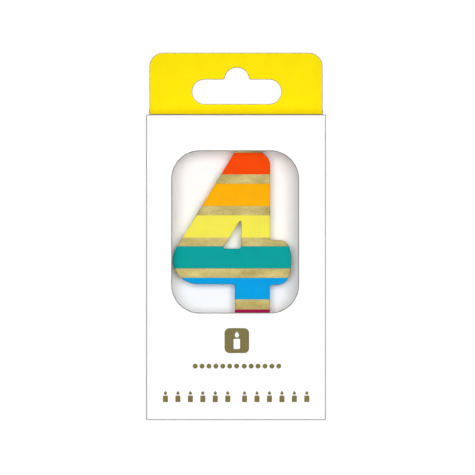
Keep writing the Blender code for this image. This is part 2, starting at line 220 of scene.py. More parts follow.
class Creased:
    """The way a strip of board runs through its folds: sharp corners in a plane, with the board's
    outer side on the right of the way and its thickness on the left."""

    def __init__(self, *corners):
        corners = [Vector(corner) for corner in corners]
        legs = [b - a for a, b in zip(corners, corners[1:])]
        self.runs = []  # (where it starts, its length, first point, direction, trimmed start)
        self.folds = []  # (where it starts, its length, centre, signed radius, direction before)
        place, trim = 0.0, 0.0
        for i, leg in enumerate(legs):
            way = leg.normalized()
            if i + 1 < len(legs):
                turn = -way.angle_signed(legs[i + 1].normalized())
                bend = CREASE_RADIUS + BOARD if turn > 0 else -CREASE_RADIUS
                tangent = abs(bend * math.tan(turn / 2))
            else:
                turn = tangent = 0.0
            length = leg.length - trim - tangent
            first = corners[i] + way * trim
            self.runs.append((place, length, first, way, trim))
            place += length
            if turn:
                centre = first + way * length + Vector((-way.y, way.x)) * bend
                self.folds.append((place, abs(turn * bend), centre, bend, way))
                place += abs(turn * bend)
            trim = tangent
        self.length = place

    def at(self, run, distance):
        """How far along the strip a point is that lies this far past the corner a run starts at."""
        start, _, _, _, trim = self.runs[run]
        return start + distance - trim

    def cut_lines(self):
        """Where the strip is cut across, so that its folds come out round."""
        lines = []
        for start, length, _, bend, _ in self.folds:
            steps = max(3, math.ceil(length / abs(bend) / FOLD_STEP))
            lines += [start + length * k / steps for k in range(steps + 1)]
        return lines

    def is_ridge(self, place):
        """True in the middle third of a fold."""
        return any(abs(place - start - length / 2) < length / 6 for start, length, *_ in self.folds)

    def point(self, place, depth):
        """Where the folded board has the point at this place along it and this depth in it."""
        for start, length, centre, bend, way in self.folds:
            if start < place < start + length:
                normal = Matrix.Rotation((place - start) / bend, 2) @ Vector((-way.y, way.x))
                return centre - normal * (bend - depth)
        for start, length, first, way, _ in reversed(self.runs):
            if place >= start - CLOSE or start == 0:
                return first + way * (place - start) + Vector((-way.y, way.x)) * depth
        raise ValueError(place)


def fold(made, way, plane, worn_and_shaded=False):
    """Bends a flat solid, laid out with the strip along its X, and stands it up. The plane says
    which world axes the strip's two coordinates and the board's width become. With worn_and_shaded
    set, the middle of each fold takes the crease material, a dark grey of worn coating and painted
    shade."""
    across = {"plane_no": (1, 0, 0), "dist": CLOSE}
    for line in way.cut_lines():
        everything = made.verts[:] + made.edges[:] + made.faces[:]
        bmesh.ops.bisect_plane(made, geom=everything, plane_co=(line, 0, 0), **across)
    # Painted shade: the middle of each fold is made dark grey to stand for the shade on its round
    # edge, as well as for the cracked coating
    if worn_and_shaded:
        for face in made.faces:
            if face.material_index == OUTER and way.is_ridge(face.calc_center_median().x):
                face.material_index = WORN_AND_SHADED
    for vert in made.verts:
        a, b = way.point(vert.co.x, vert.co.z)
        placed = dict(zip(plane, (a, b, vert.co.y)))
        vert.co = (placed["x"], placed["y"], placed["z"])
    return made


def stand(made, face_y):
    """Stands a flat solid up with its front face at this Y and its depth running back from it."""
    for vert in made.verts:
        vert.co = (vert.co.x, face_y + vert.co.z, vert.co.y)
    return made


def skin(made, rings):
    """Joins rings of vertices into a closed tube."""
    for near, far in zip(rings, rings[1:]):
        for i in range(len(near)):
            made.faces.new((near[i - 1], near[i], far[i], far[i - 1]))
    made.faces.new(rings[0])
    made.faces.new(rings[-1])


def turned(profile, x, y):
    """A solid about a vertical axis, from the (radius, z, depth of the grooves) down its side."""
    made = bmesh.new()
    rings = []
    for radius, z, groove in profile:
        ring = []
        for k in range(TURNED_SIDES):
            turn = 2 * math.pi * k / TURNED_SIDES
            reach = radius - groove * (1 - math.cos(GROOVES * turn)) / 2
            ring.append(made.verts.new((x + reach * math.cos(turn), y + reach * math.sin(turn), z)))
        rings.append(ring)
    skin(made, rings)
    return made


def strand(made, path, radii):
    """A tube round a path that runs mostly upwards, with its own radius at each point."""
    turns = [2 * math.pi * k / STRAND_SIDES for k in range(STRAND_SIDES)]
    rings = []
    for i, (point, radius) in enumerate(zip(path, radii)):
        way = (path[min(i + 1, len(path) - 1)] - path[max(i - 1, 0)]).normalized()
        across = way.cross(Vector((0, 1, 0))).normalized()
        sides = [across * math.cos(turn) + way.cross(across) * math.sin(turn) for turn in turns]
        rings.append([made.verts.new(point + side * radius) for side in sides])
    skin(made, rings)


# ---------------------------------------------------------------- materials

BLACK, WHITE = (0, 0, 0, 1), (1, 1, 1, 1)
INK_LIGHT, INK_DARK = (0.195, 0.167, 0.062, 1), (0.155, 0.13, 0.044, 1)
# Crease grey: partly the coating's cracks, partly painted shade for the fold's round edge
CRACK_AND_SHADE_LIGHT, CRACK_AND_SHADE_DARK = (0.38, 0.38, 0.37, 1), (0.31, 0.31, 0.3, 1)
COTTON_LIGHT, COTTON_DARK = (0.86, 0.83, 0.75, 1), (0.66, 0.62, 0.52, 1)
PLASTIC_LIGHT, PLASTIC_DARK = (0.87, 0.87, 0.86, 1), (0.82, 0.82, 0.81, 1)
FLOOR_LIGHT, FLOOR_DARK = (0.9, 0.9, 0.9, 1), (0.89, 0.89, 0.89, 1)

RED = (0.9, 0.065, 0.0, 1)
ORANGE = (0.95, 0.43, 0.0, 1)
YELLOW = (0.86, 0.78, 0.08, 1)
TEAL = (0.0, 0.325, 0.305, 1)
BLUE = (0.0, 0.33, 0.73, 1)
MAGENTA = (0.36, 0.007, 0.07, 1)
GOLD = (0.52, 0.42, 0.15, 1)  # the foil's middle shade, which also marks the gilt bands
GOLD_LIGHT, GOLD_DARK = (0.74, 0.62, 0.245, 1), (0.45, 0.355, 0.113, 1)
GOLD_METAL = 0.35

# The wax's bands from the top down: the height of each one's foot and its colour
BAND_TOP = 97.6 * MM
BANDS = [
    (95.3 * MM, GOLD),
    (87.6 * MM, RED),
    (84.25 * MM, GOLD),
    (76.35 * MM, ORANGE),
    (72.95 * MM, GOLD),
    (65.15 * MM, YELLOW),
    (61.85 * MM, GOLD),
    (53.95 * MM, TEAL),
    (50.6 * MM, GOLD),
    (42.85 * MM, BLUE),
    (39.35 * MM, GOLD),
    (31.7 * MM, MAGENTA),
]


class Look:
    """A procedural material in the making. Its patterns follow the piece's own coordinates."""

    def __init__(self, name, **constants):
        self.material = bpy.data.materials.new(name)
        self.material.use_nodes = True
        self.tree = self.material.node_tree
        self.shader = self.tree.nodes["Principled BSDF"]
        self.place = self.node("ShaderNodeTexCoord").outputs["Object"]
        for socket, value in constants.items():
            self.shader.inputs[socket.replace("_", " ")].default_value = value

    def node(self, kind, inputs=None, **settings):
        made = self.tree.nodes.new(kind)
        for setting, value in settings.items():
            setattr(made, setting, value)
        for socket, value in (inputs or {}).items():
            self.feed(made.inputs[socket], value)
        return made

    def feed(self, socket, value):
        if isinstance(value, bpy.types.NodeSocket):
            self.tree.links.new(value, socket)
        else:
            socket.default_value = value

    def noise(self, size, detail=3.0, stretch=(1, 1, 1)):
        """A noise of 0 to 1, its blotches about this long times the stretch along each axis."""
        scaled = self.node("ShaderNodeVectorMath", {0: self.place}, operation="MULTIPLY")
        scaled.inputs[1].default_value = [1 / (size * along) for along in stretch]
        inputs = {"Vector": scaled.outputs[0], "Scale": 1.0, "Detail": detail}
        return self.node("ShaderNodeTexNoise", inputs).outputs["Fac"]

    def math(self, operation, a, b, clamp=False):
        made = self.node("ShaderNodeMath", {0: a, 1: b}, operation=operation, use_clamp=clamp)
        return made.outputs[0]

    def spread(self, value, low, high):
        """Maps a noise's middle range onto low to high."""
        inputs = {"Value": value, "From Min": 0.3, "From Max": 0.7, "To Min": low, "To Max": high}
        return self.node("ShaderNodeMapRange", inputs).outputs["Result"]

    def mix(self, share, a, b):
        """Mixes two colours. These numbers are a mix node's colour sockets."""
        return self.node("ShaderNodeMix", {0: share, 6: a, 7: b}, data_type="RGBA").outputs[2]

    def steps(self, share, stops):
        """Hard steps of colour along a share of 0 to 1. Each is (where it begins, its colour)."""
        made = self.node("ShaderNodeValToRGB", {0: share})
        made.color_ramp.interpolation = "CONSTANT"
        elements = made.color_ramp.elements  # it starts with two of them
        for i, (start, colour) in enumerate(stops):
            element = elements[i] if i < 2 else elements.new(start)
            element.position = start
            element.color = colour
        return made.outputs["Color"]

    def bump(self, *heights):
        """Lays bumps on each other. Each is (height from 0 to 1, its depth in metres)."""
        normal = None
        for height, depth in heights:
            inputs = {"Height": height, "Distance": depth, "Strength": 1.0}
            if normal:
                inputs["Normal"] = normal
            normal = self.node("ShaderNodeBump", inputs).outputs["Normal"]
        self.feed(self.shader.inputs["Normal"], normal)

    def colour(self, value):
        self.feed(self.shader.inputs["Base Color"], value)

    def roughness(self, value):
        self.feed(self.shader.inputs["Roughness"], value)


def coated_board(name, light, dark):
    """Clay-coated board: even, but for a faint cloudiness and the coating's shallow orange peel."""
    look = Look(name, Coat_Weight=0.05, Coat_Roughness=0.35, Specular_IOR_Level=0.15)
    look.colour(look.mix(look.spread(look.noise(7 * MM), 0, 1), light, dark))
    look.roughness(look.spread(look.noise(2.5 * MM), 0.44, 0.58))
    look.bump((look.noise(1.6 * MM, 2.0), 0.004 * MM), (look.noise(0.18 * MM, 3.0), 0.002 * MM))
    return look.material


def bare_board(name, light, dark, grain):
    """Uncoated pulp, with its fibres lying along the grain."""
    look = Look(name, Specular_IOR_Level=0.2)
    fibres = look.noise(0.25 * MM, 4.0, grain)
    clouds = look.noise(3 * MM, 2.0)
    both = look.math("ADD", look.math("MULTIPLY", fibres, 0.6), look.math("MULTIPLY", clouds, 0.4))
    look.colour(look.mix(look.spread(both, 0, 1), light, dark))
    look.roughness(look.spread(fibres, 0.8, 0.95))
    look.bump((fibres, 0.02 * MM))
    return look.material


def creased_board():
    """A fold's dark grey: painted shade on its round edge, and coating cracked to the grey beneath.
    """
    look = Look("worn_and_shaded_crease", Specular_IOR_Level=0.25)
    cracks_and_shade = look.noise(0.35 * MM, 4.0, (1, 1, 7))
    look.colour(look.mix(look.spread(cracks_and_shade, 0, 1), CRACK_AND_SHADE_DARK, CRACK_AND_SHADE_LIGHT))
    look.roughness(look.spread(cracks_and_shade, 0.6, 0.8))
    look.bump((cracks_and_shade, 0.015 * MM))
    return look.material


def printing_ink():
    """Dull gold ink, a little uneven."""
    look = Look("gold_ink", Specular_IOR_Level=0.25)
    look.colour(look.mix(look.spread(look.noise(0.35 * MM), 0, 1), INK_LIGHT, INK_DARK))
    look.roughness(look.spread(look.noise(0.3 * MM), 0.4, 0.6))
    look.bump((look.noise(0.12 * MM), 0.003 * MM))
    return look.material


def striped_wax():
    """Candle wax in colour bands with narrow foil-gold bands between them, by height."""
    look = Look(
        "striped_wax",
        Subsurface_Radius=(1.0, 0.6, 0.4),
        Subsurface_Scale=0.4 * MM,
        Subsurface_Weight=0.05,
        Specular_IOR_Level=0.15,
    )
    wobble = look.math("MULTIPLY", look.math("SUBTRACT", look.noise(2.2 * MM), 0.5), 0.12 * MM)
    height = look.node("ShaderNodeSeparateXYZ", {0: look.place}).outputs["Z"]
    height = look.math("ADD", height, wobble)
    low = BANDS[-1][0]
    whole = BAND_TOP - low
    share = look.math("DIVIDE", look.math("SUBTRACT", height, low), whole, clamp=True)
    upwards = [((foot - low) / whole, colour) for foot, colour in reversed(BANDS)]
    paint = look.steps(share, upwards)
    gilt = [(at, WHITE if colour is GOLD else BLACK) for at, colour in upwards]
    is_gold = look.steps(share, gilt)
    foil = look.noise(4.5 * MM, 2.0, (1.6, 1, 0.8))
    grain = look.noise(0.3 * MM, 3.0, (3, 1, 1))
    mottle = look.math("ADD", look.math("MULTIPLY", foil, 0.65), look.math("MULTIPLY", grain, 0.35))
    gold = look.mix(look.spread(mottle, -0.2, 1.2), GOLD_DARK, GOLD_LIGHT)
    cloud = look.math("MULTIPLY", look.spread(look.noise(5 * MM), 0, 1), 0.05)
    look.colour(look.mix(is_gold, look.mix(cloud, paint, BLACK), gold))
    smooth, rough = look.spread(look.noise(1.5 * MM), 0.34, 0.42), look.spread(mottle, 0.4, 0.55)
    either = look.node("ShaderNodeMix", {0: is_gold, 2: smooth, 3: rough}, data_type="FLOAT")
    look.roughness(either.outputs[0])
    look.feed(look.shader.inputs["Metallic"], look.math("MULTIPLY", is_gold, GOLD_METAL))
    gilt_grain = look.math("MULTIPLY", grain, is_gold)
    dimples = look.noise(2.8 * MM, 1.0)
    look.bump((is_gold, 0.03 * MM), (gilt_grain, 0.012 * MM), (dimples, 0.02 * MM))
    return look.material


def twisted_cotton():
    """Off-white cotton, its fibres running up the wick."""
    look = Look("wick_cotton", Specular_IOR_Level=0.25)
    fibres = look.noise(0.09 * MM, 3.0, (1, 1, 4))
    look.colour(look.mix(look.spread(fibres, 0, 1), COTTON_LIGHT, COTTON_DARK))
    look.roughness(look.spread(fibres, 0.75, 0.95))
    look.bump((fibres, 0.05 * MM))
    return look.material


def moulded_plastic():
    """White polystyrene that lets a little light in."""
    look = Look(
        "white_plastic",
        Subsurface_Radius=(1, 1, 1),
        Subsurface_Scale=0.5 * MM,
        Subsurface_Weight=0.15,
    )
    look.colour(look.mix(look.noise(2 * MM), PLASTIC_LIGHT, PLASTIC_DARK))
    look.roughness(look.spread(look.noise(0.4 * MM), 0.3, 0.42))
    look.bump((look.noise(0.3 * MM, 2.0), 0.006 * MM))
    return look.material


white = coated_board("white_board", (0.94, 0.94, 0.94, 1), (0.92, 0.92, 0.92, 1))
yellow = coated_board("yellow_board", (0.84, 0.68, 0.0, 1), (0.81, 0.65, 0.0, 1))
# Cut-edge grey: the board's grey middle ply, made darker than it is, so that the bevels round the
# window and along the panel's edges paint a shaded line
core_and_rim_shade = bare_board("board_core_and_rim_shade", (0.24, 0.235, 0.225, 1), (0.19, 0.185, 0.175, 1), (1, 1, 3))
inner_board = bare_board("inner_board", (0.66, 0.65, 0.61, 1), (0.58, 0.57, 0.53, 1), (1, 1, 6))
ink = printing_ink()
wax = striped_wax()
cotton = twisted_cotton()
plastic = moulded_plastic()
# The crease material paints the shade along the carton's folded edges, along with the coating's
# wear
worn_and_shaded_crease = creased_board()
white_card = (white, core_and_rim_shade, inner_board, worn_and_shaded_crease)
white_both_sides = (white, core_and_rim_shade, white)
yellow_card = (yellow, core_and_rim_shade, inner_board)
yellow_both_sides = (yellow, core_and_rim_shade, yellow)


# ---------------------------------------------------------------- the carton

half_width = cad_box[1].x
front_low, front_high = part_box("front_panel")
back_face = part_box("back_panel")[1].y
side_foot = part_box("left_side_panel")[0].z
glue_low, glue_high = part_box("glue_flap")
flap_low, flap_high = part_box("bottom_flap")
dust_low, dust_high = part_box("left_dust_flap")
carton_top = front_high.z
front_face = front_low.y + PRINT_FACE

WINDOW_CENTRE_X = -0.3 * MM
WINDOW_HALF = 22.8 * MM
WINDOW_FOOT, WINDOW_HEAD = 38.1 * MM, 96.3 * MM
WINDOW_RADIUS = 10.2 * MM
WINDOW_BEVEL = 0.3 * MM  # the cut's bevel shows the dark grey of the cut edges all round the window, a painted shaded line at its rim
# The panel's bevel shows the same darkened cut-edge grey, a painted shaded line along its edges
PANEL_BEVEL = 0.28 * MM
EDGE_IN = 0.8  # how far a hole is drawn in, over the width of its pressed edge
ROOT = 1.6 * MM  # how far a folding piece runs on past its crease, onto the board it hangs from
GLUE_TAPER = 3.7 * MM  # how much lower the glue flap's free edge is at each end
GLUE_STEP = 0.8 * MM  # where its taper begins, past the fold
FOLD_HALF = 0.6 * MM  # past the end of a fold, from its middle

LIP_TILT = math.radians(16)
LIP_LENGTH = 9.0 * MM
LIP_RADIUS = 3.5 * MM
LIP_HALF_WIDTH = 29.5 * MM
LIP_CREASE = Vector((flap_low.y + 0.15 * MM, 0.3 * MM))  # Y and height of the bottom one
LIP_BEND = 0.9 * MM  # how far from its crease's corner a lip's bend begins and ends
LIP_BEND_IN = 0.15 * MM  # how far inside the corner its end lies
FLAP_BEND = 1.2 * MM  # the same for the bottom and top flaps
LIP_ROOT_Y = flap_low.y + ROOT
SEAM = 0.12 * MM  # how far one piece's board runs into the next one's at a hidden butt joint
NOTCH_IN = EDGE_IN * PANEL_BEVEL  # how far a root strip reaches over the ends of its notch
DUST_TIP_Y = (-4.8 * MM, -0.45 * MM)
DUST_RADIUS = 1.5 * MM
DUST_BEND_Z, DUST_BEND_X = 1.45 * MM, 0.95 * MM  # where its bend begins and ends


def make_sleeve():
    """The glued carton: glue flap, left side, front with its window, right side and back."""
    way = Creased(
        (glue_high.x, glue_high.y),
        (-half_width, glue_high.y),
        (-half_width, front_face),
        (half_width, front_face),
        (half_width, back_face),
        (-half_width, back_face),
    )
    glue_end, front_left, front_right, back = (way.at(run, 0) for run in (1, 2, 3, 4))
    notches = [
        (way.at(run, start) + NOTCH_IN, way.at(run, end) - NOTCH_IN, foot)
        for run, start, end, foot in (
            (1, glue_high.y - dust_high.y, glue_high.y - dust_low.y, side_foot),
            (3, dust_low.y - front_face, dust_high.y - front_face, side_foot),
            (4, half_width - flap_high.x, half_width - flap_low.x, 0),
        )
    ]
    top = ROOT - PANEL_BEVEL  # so that the root strips cover the pressed edges of their notches
    left_notch, right_notch, back_notch = (
        [(start, foot), (start, top), (end, top), (end, foot)] for start, end, foot in notches
    )
    corners = [(0, glue_low.z + GLUE_TAPER), (glue_end - GLUE_STEP, glue_low.z)]
    corners += [(glue_end, side_foot)] + left_notch
    corners += [(front_left - FOLD_HALF, side_foot), (front_left - FOLD_HALF, 0)]
    corners += [(front_right + FOLD_HALF, 0), (front_right + FOLD_HALF, side_foot)] + right_notch
    corners += [(back, side_foot), (back, 0)] + back_notch
    corners += [(way.length, 0), (way.length, carton_top), (glue_end, carton_top)]
    corners += [(glue_end - GLUE_STEP, glue_high.z), (0, glue_high.z - GLUE_TAPER)]
    edge = [Vector(corner) for corner in corners]
    middle = way.at(2, WINDOW_CENTRE_X + half_width)
    within = EDGE_IN * WINDOW_BEVEL
    window = rectangle(
        middle - WINDOW_HALF + within,
        middle + WINDOW_HALF - within,
        WINDOW_FOOT + within,
        WINDOW_HEAD - within,
        WINDOW_RADIUS - within,
    )
    blank = slab(edge, [window], board_rings(front=PANEL_BEVEL), board_rings(front=WINDOW_BEVEL))
    replaced = ("front_panel", "back_panel", "left_side_panel", "right_side_panel", "glue_flap")
    # The sleeve's folds get the dark grey crease line of painted shade
    sleeve = fold(blank, way, "xyz", worn_and_shaded=True)
    finish_mesh(sleeve, "carton_sleeve", "carton", white_card, replaced)


def make_bottom_flap():
    """The bottom flap, with the crease that joins it to the back panel."""
    way = Creased((LIP_ROOT_Y, 0), (back_face, 0), (back_face, ROOT))
    blank = slab(rectangle(0, way.length, flap_low.x, flap_high.x))
    bend = ((0, back_face, FLAP_BEND), (0, back_face - FLAP_BEND, 0))
    bodies = ("carton", "bottom_flap")
    flap = fold(blank, way, "yzx")
    finish_mesh(flap, "bottom_flap_board", bodies, white_card, ["bottom_flap"], bend)


def make_lip(name, bodies, node, materials, overhead=False):
    """A tuck lip leaning in from its crease, with the strip of the flap that it hangs from. The
    one overhead is the bottom one's mirror image."""
    along = Vector((math.sin(LIP_TILT), math.cos(LIP_TILT)))
    outer = LIP_CREASE + Vector((-along.y, along.x)) * BOARD / 2
    corner = outer - along * outer.y / along.y
    way = Creased(outer + along * LIP_LENGTH, corner, (LIP_ROOT_Y + SEAM, 0))
    fold_start, fold_length = way.folds[0][:2]
    blank = rounded([
        (0, -LIP_HALF_WIDTH, LIP_RADIUS),
        (fold_start, -LIP_HALF_WIDTH, 0),
        (fold_start + fold_length, flap_low.x, 0),
        (way.length, flap_low.x, 0),
        (way.length, flap_high.x, 0),
        (fold_start + fold_length, flap_high.x, 0),
        (fold_start, LIP_HALF_WIDTH, 0),
        (0, LIP_HALF_WIDTH, LIP_RADIUS),
    ])
    lip = fold(slab(blank), way, "yzx")
    bend = [
        Vector((0, corner.x + LIP_BEND, 0)),
        Vector((0, corner.x + LIP_BEND_IN, LIP_BEND)),
    ]
    if overhead:
        for place in [vert.co for vert in lip.verts] + bend:
            place.z = carton_top - place.z
    finish_mesh(lip, name, bodies, materials, [node], bend)


def make_dust_flaps():
    """The small flaps at the foot of the side panels. The right one mirrors the left one."""
    for name, sign in (("left_dust_flap", 1), ("right_dust_flap", -1)):
        side, foot = -half_width, dust_low.z
        way = Creased((side, ROOT), (side, foot), (dust_high.x, foot))
        crease = way.at(1, dust_low.x + half_width)
        blank = rounded([
            (0, dust_low.y, 0),
            (crease, dust_low.y, 0),
            (way.length, DUST_TIP_Y[0], DUST_RADIUS),
            (way.length, DUST_TIP_Y[1], DUST_RADIUS),
            (crease, dust_high.y, 0),
            (0, dust_high.y, 0),
        ])
        flap = fold(slab(blank), way, "xzy")
        bend = [Vector((side, 0, DUST_BEND_Z)), Vector((side + DUST_BEND_X, 0, foot))]
        for place in [vert.co for vert in flap.verts] + bend:
            place.x *= sign
        bodies = ("carton", name)
        finish_mesh(flap, name + "_board", bodies, white_card, [name], bend)


# ---------------------------------------------------------------- the print on the front panel

# All of these are in millimetres
ICON = (-4.1, 4.7, 23.9, 32.85, 1.8)  # left, right, low, high and corner radius
ICON_CANDLE = (-0.85, 1.45, 25.4, 29.0, 0.35)
ICON_FLAME = (0.3, 29.45, 1.5, 2.3)  # middle, foot, width and height
DOTS = (-14.6, 2.47, 19.25, 0.88)  # the first one's middle, the pitch, the height and the radius
DOT_PLACES = [0, 1, 2, 3, 4, 5, 6, 7.1, 8.1, 9.1, 10.1, 11.1, 12.1]  # in pitches
CANDLES = (-25.2, 4.45, 6.4)  # the first one's middle, the pitch and the height of their feet
CANDLE_PLACES = [0, 1, 2, 3, 4, 5, 6.35, 7.35, 8.35, 9.35, 10.35, 11.35]
CANDLE_SIZE = (0.9, 2.35, 0.25)  # half its width, its height and its corner radius
CANDLE_FLAME = (2.6, 1.15, 1.5)  # foot, width and height
INK_ROOT = 0.02 * MM  # how far the ink goes into the board


def flame(x, foot, width, height):
    """A flame's outline, round below and pointed above, from millimetres."""
    w, h = width, height
    return bezier([
        ((x, foot), (-0.28 * w, 0), (0.28 * w, 0)),
        ((x + w / 2, foot + 0.38 * h), (0, -0.2 * h), (0, 0.25 * h)),
        ((x, foot + h), (0.06 * w, -0.22 * h), (-0.06 * w, -0.22 * h)),
        ((x - w / 2, foot + 0.38 * h), (0, 0.25 * h), (0, -0.2 * h)),
    ], steps=5)


def rounded_box(left, right, low, high, radius):
    """A rectangle with round corners, from millimetres."""
    return rectangle(*(length * MM for length in (left, right, low, high, radius)))


def make_print():
    """Generic printed marks: a candle in a rounded square, a row of dots and a row of candles."""
    icon = [(rounded_box(*ICON), [rounded_box(*ICON_CANDLE), flame(*ICON_FLAME)])]
    first, pitch, height, radius = DOTS
    dots = [(circle((first + pitch * k) * MM, height * MM, radius * MM), ()) for k in DOT_PLACES]
    first, pitch, foot = CANDLES
    half, tall, corner = CANDLE_SIZE
    flame_foot, *flame_size = CANDLE_FLAME
    candles = []
    for k in CANDLE_PLACES:
        x = first + pitch * k
        candles.append((rounded_box(x - half, x + half, foot, foot + tall, corner), ()))
        candles.append((flame(x, foot + flame_foot, *flame_size), ()))
    rings = [(0, 0), (0, PRINT_FACE - PRINT_MARGIN + INK_ROOT)]
    for name, shapes in (("icon", icon), ("dots", dots), ("candles", candles)):
        made = bmesh.new()
        for edge, holes in shapes:
            slab(edge, holes, rings, made=made)
        stand(made, front_low.y + PRINT_MARGIN)
        finish_mesh(made, "printed_" + name, "carton", [ink] * 3)


# ---------------------------------------------------------------- the insert

card_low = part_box("hang_card")[0]
header_low, header_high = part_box("header_front_layer")
cradle_low, cradle_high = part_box("candle_cradle")
wick_low, wick_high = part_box("wick")
candle_low, candle_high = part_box("candle_numeral")
pick_low, pick_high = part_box("cake_pick")
stem_x, candle_y = (wick_low.x + wick_high.x) / 2, (wick_low.y + wick_high.y) / 2

CARD_HALF = 30.4 * MM
HEADER_RADIUS = 4.95 * MM
HEADER_BEVEL = 0.18 * MM
SLOT_CENTRE_X = 0.3 * MM
SLOT_HALF = 16.0 * MM
SLOT_FOOT, SLOT_HEAD = 113.2 * MM, 122.0 * MM
HUMP_CENTRE_Z, HUMP_RADIUS, HUMP_FILLET = 121.9 * MM, 4.4 * MM, 0.6 * MM
TOP_ROOT_IN = 0.2 * MM  # how deep the top flap's root lies in the header's front layer
TOP_BEND_RISE = 0.3 * MM  # how far above the carton its bend begins

NOTCH_PLAY = 0.5 * MM
NEARLY = 0.999  # keeps the two arcs of a round end from sharing a point

WICK_RADIUS = 0.9 * MM
WICK_SINK = 0.5 * MM  # how far its foot is in the wax
WICK_STEPS = 40
STRANDS = 3
STRAND_REACH = 0.43 * MM  # from the wick's middle to a strand's
STRAND_RADIUS = 0.44 * MM
TWIST = 2.6  # turns from foot to top
PINCH_START = 0.94  # of the wick's height
# The ring of wax round the wick's foot: radius and height over the numeral, in millimetres
COLLAR = [(0.95, 0.24), (1.1, 0.22), (1.25, 0.12), (1.4, 0.0), (1.4, -1.0)]

SPIKE_RADIUS = 1.7 * MM
PIN_RADIUS = 1.0 * MM
PIN_SINK = 1 * MM  # how far the pick's pin is in the wax
PLATE_FOOT, PLATE_TOP = 30.3 * MM, 31.4 * MM
PLATE_EDGE = 0.3 * MM
# The spike from its neck and from its tip up: radius, distance and depth of its grooves
SPIKE_NECK = [(1.65 * MM, 0.5 * MM, 0), (1.62 * MM, 0.9 * MM, 0.45 * MM)]
SPIKE_TIP = [
    (1.0 * MM, 9 * MM, 0.3 * MM),
    (0.62 * MM, 3 * MM, 0.12 * MM),
    (0.35 * MM, 1 * MM, 0),
    (0.22 * MM, 0.3 * MM, 0),
    (0.08 * MM, 0, 0),
]

WAX_EDGE = 0.4 * MM
# The 4's outline in millimetres: the anchor and the handles before and after it
NUMERAL_OUTLINE = [
    ((6.1, 97.6), None, None),
    ((2.2, 97.6), None, (-0.9, 0)),
    ((0.05, 96.74), (0.8, 0.75), None),
    ((-20.2, 63.4), None, (-1.1, -1.8)),
    ((-22.7, 57.1), (0, 2.6), (0, -4.6)),
    ((-14.0, 48.5), (-4.7, 0.15), None),
    ((-1.4, 48.5), None, (0.65, 0)),
    ((-0.4, 47.5), (0, 0.65), None),
    ((-0.4, 32.7), None, (0, -0.55)),
    ((0.6, 31.7), (-0.55, 0), None),
    ((11.15, 31.7), None, (0.55, 0)),
    ((12.15, 32.7), (0, -0.55), None),
    ((12.15, 47.3), None, (0, 0.6)),
    ((13.15, 48.25), (-0.6, 0), None),
    ((14.7, 48.2), None, (3.6, 0.05)),
    ((19.83, 56.4), (0, -4.9), (0, 4.9)),
    ((16.2, 64.15), (2.4, -0.1), None),
    ((12.95, 64.35), None, (-0.4, 0)),
    ((12.25, 65.05), (0, -0.4), None),
    ((12.25, 91.4), None, (0, 3.4)),
]
NUMERAL_COUNTER = [
    ((0.45, 61.15), None, (0.9, 0.02)),
    ((1.78, 62.1), (-0.02, -0.6), None),
    ((1.95, 69.6), None, (0, 1.6)),
    ((1.05, 70.7), (0.45, 0.65), None),
    ((-4.3, 62.0), None, (-0.4, -0.6)),
    ((-3.7, 61.2), (-0.75, 0), None),
]


def euro_slot():
    """The hang hole: a slot with round ends and a round hump over its middle, with soft corners
    where the hump begins."""
    left, right = SLOT_CENTRE_X - SLOT_HALF, SLOT_CENTRE_X + SLOT_HALF
    end = (SLOT_HEAD - SLOT_FOOT) / 2 * NEARLY
    slot = rectangle(left, right, SLOT_FOOT, SLOT_HEAD, end)
    rise = SLOT_HEAD + HUMP_FILLET - HUMP_CENTRE_Z
    spread = math.sqrt((HUMP_RADIUS + HUMP_FILLET) ** 2 - rise**2)
    lean = math.asin(rise / (HUMP_RADIUS + HUMP_FILLET))
    foot = SLOT_HEAD + HUMP_FILLET
    hump = arc(SLOT_CENTRE_X + spread, foot, HUMP_FILLET, -HALF_PI, -math.pi + lean)
    hump += arc(SLOT_CENTRE_X, HUMP_CENTRE_Z, HUMP_RADIUS, lean, math.pi - lean)
    hump += arc(SLOT_CENTRE_X - spread, foot, HUMP_FILLET, -lean, -HALF_PI)
    split = len(slot) * 3 // 4  # past the third of its four corners, where its top side starts
    points = slot[:split] + hump + slot[split:]
    return [point for i, point in enumerate(points) if (point - points[i - 1]).length > CLOSE]


def make_header():
    """The hang card and, glued over it above the carton, the header's front layer."""
    half = header_high.x
    top, foot = header_high.z, header_low.z
    card = rounded([
        (-CARD_HALF, card_low.z, 0),
        (CARD_HALF, card_low.z, 0),
        (CARD_HALF, carton_top, 0),
        (half, foot, 0),
        (half, top, HEADER_RADIUS),
        (-half, top, HEADER_RADIUS),
        (-half, foot, 0),
        (-CARD_HALF, carton_top, 0),
    ])
    front = rounded([
        (-half, foot, 0),
        (half, foot, 0),
        (half, top, HEADER_RADIUS),
        (-half, top, HEADER_RADIUS),
    ])
    thickness = card_low.y - header_low.y
    back_made = slab(card, [euro_slot()], board_rings(back=HEADER_BEVEL))
    front_made = slab(front, [euro_slot()], board_rings(thickness, HEADER_BEVEL))
    for made, face, name, node in (
        (back_made, card_low.y, "hang_card_board", "hang_card"),
        (front_made, header_low.y, "header_front_board", "header_front_layer"),
    ):
        finish_mesh(stand(made, face), name, "insert", yellow_both_sides, [node])


def make_top_flap():
    """The flap that closes the carton's top, coming out from under the header's front layer."""
    root_y = header_low.y + TOP_ROOT_IN
    way = Creased((root_y, header_low.z + ROOT), (root_y, carton_top), (LIP_ROOT_Y, carton_top))
    flap = fold(slab(rectangle(0, way.length, flap_low.x, flap_high.x)), way, "yzx")
    bend = (
        (0, header_low.y, carton_top + TOP_BEND_RISE),
        (0, header_low.y - FLAP_BEND, carton_top),
    )
    bodies = ("insert", "top_flap")
    finish_mesh(flap, "top_flap_board", bodies, yellow_card, ["top_flap"], bend)


